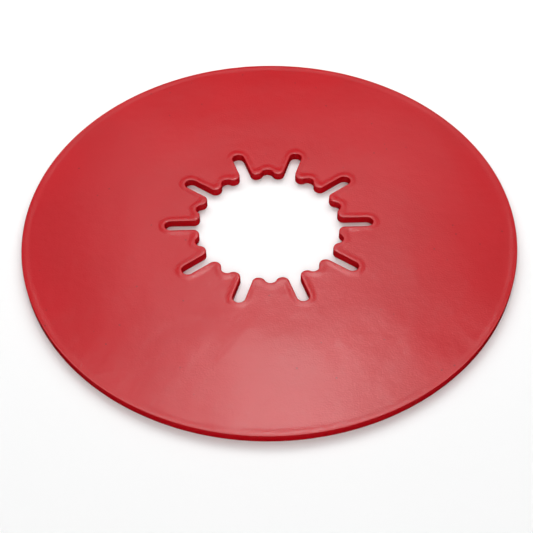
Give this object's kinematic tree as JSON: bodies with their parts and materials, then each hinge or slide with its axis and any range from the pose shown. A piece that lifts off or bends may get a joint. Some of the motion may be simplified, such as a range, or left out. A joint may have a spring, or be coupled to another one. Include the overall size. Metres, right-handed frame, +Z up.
{
  "type": "fifth wheel lube plate",
  "caption": "Flat round moulded plastic plate with a star-shaped centre hole whose slotted fingers snap over a trailer kingpin, in place of grease.",
  "frame": {"origin": "centre of the flat underside", "axes": "+Z up through the plate's thickness on the kingpin's axis, +X along one of the slots"},
  "size_m": [0.254, 0.254, 0.0048],
  "materials": {
    "red_plastic": "satin, moulded"
  },
  "bodies": {
    "root": {"lube_plate": "red_plastic"}
  },
  "joints": []
}
